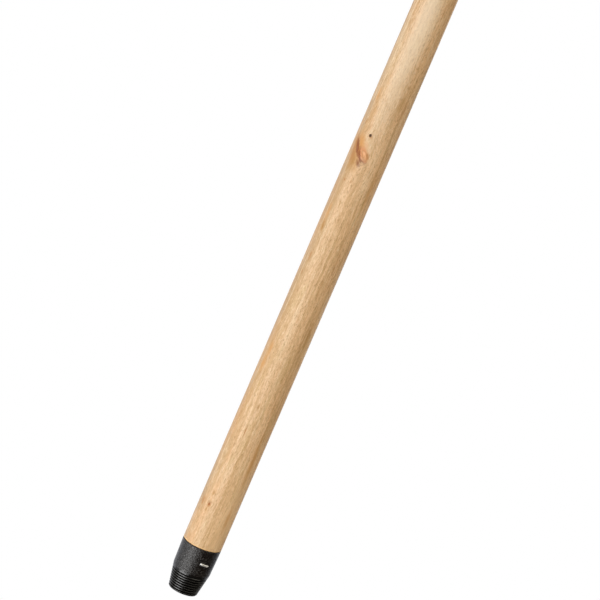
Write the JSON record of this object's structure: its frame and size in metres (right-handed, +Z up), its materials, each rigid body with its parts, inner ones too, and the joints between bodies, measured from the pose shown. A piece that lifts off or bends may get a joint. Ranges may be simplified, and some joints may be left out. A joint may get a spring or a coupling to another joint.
{
  "type": "paint roller pole",
  "caption": "Turned timber pole with a domed top end and a black moulded cap stapled to its lower end; the cap's tapered threaded nose screws into a paint roller or broom handle.",
  "frame": {"origin": "centre of the flat face at the end of the cap's threaded nose, on the pole's axis", "axes": "+Z up the pole from the threaded nose to the domed top; +X and +Y across the pole, with the front staple's crown 33 degrees round from -Y towards +X"},
  "size_m": [0.0252, 0.0252, 1.2],
  "materials": {
    "timber": "sanded bare pale timber with fine straight grain, faint warm blotches and a few small knots",
    "moulded_cap": "black moulded plastic with a fine spark-eroded grain",
    "staple_wire": "bright galvanised flat staple wire"
  },
  "bodies": {
    "root": {"timber_pole": "timber", "threaded_cap": "moulded_cap", "staple_front": "staple_wire", "staple_back": "staple_wire"}
  },
  "joints": []
}
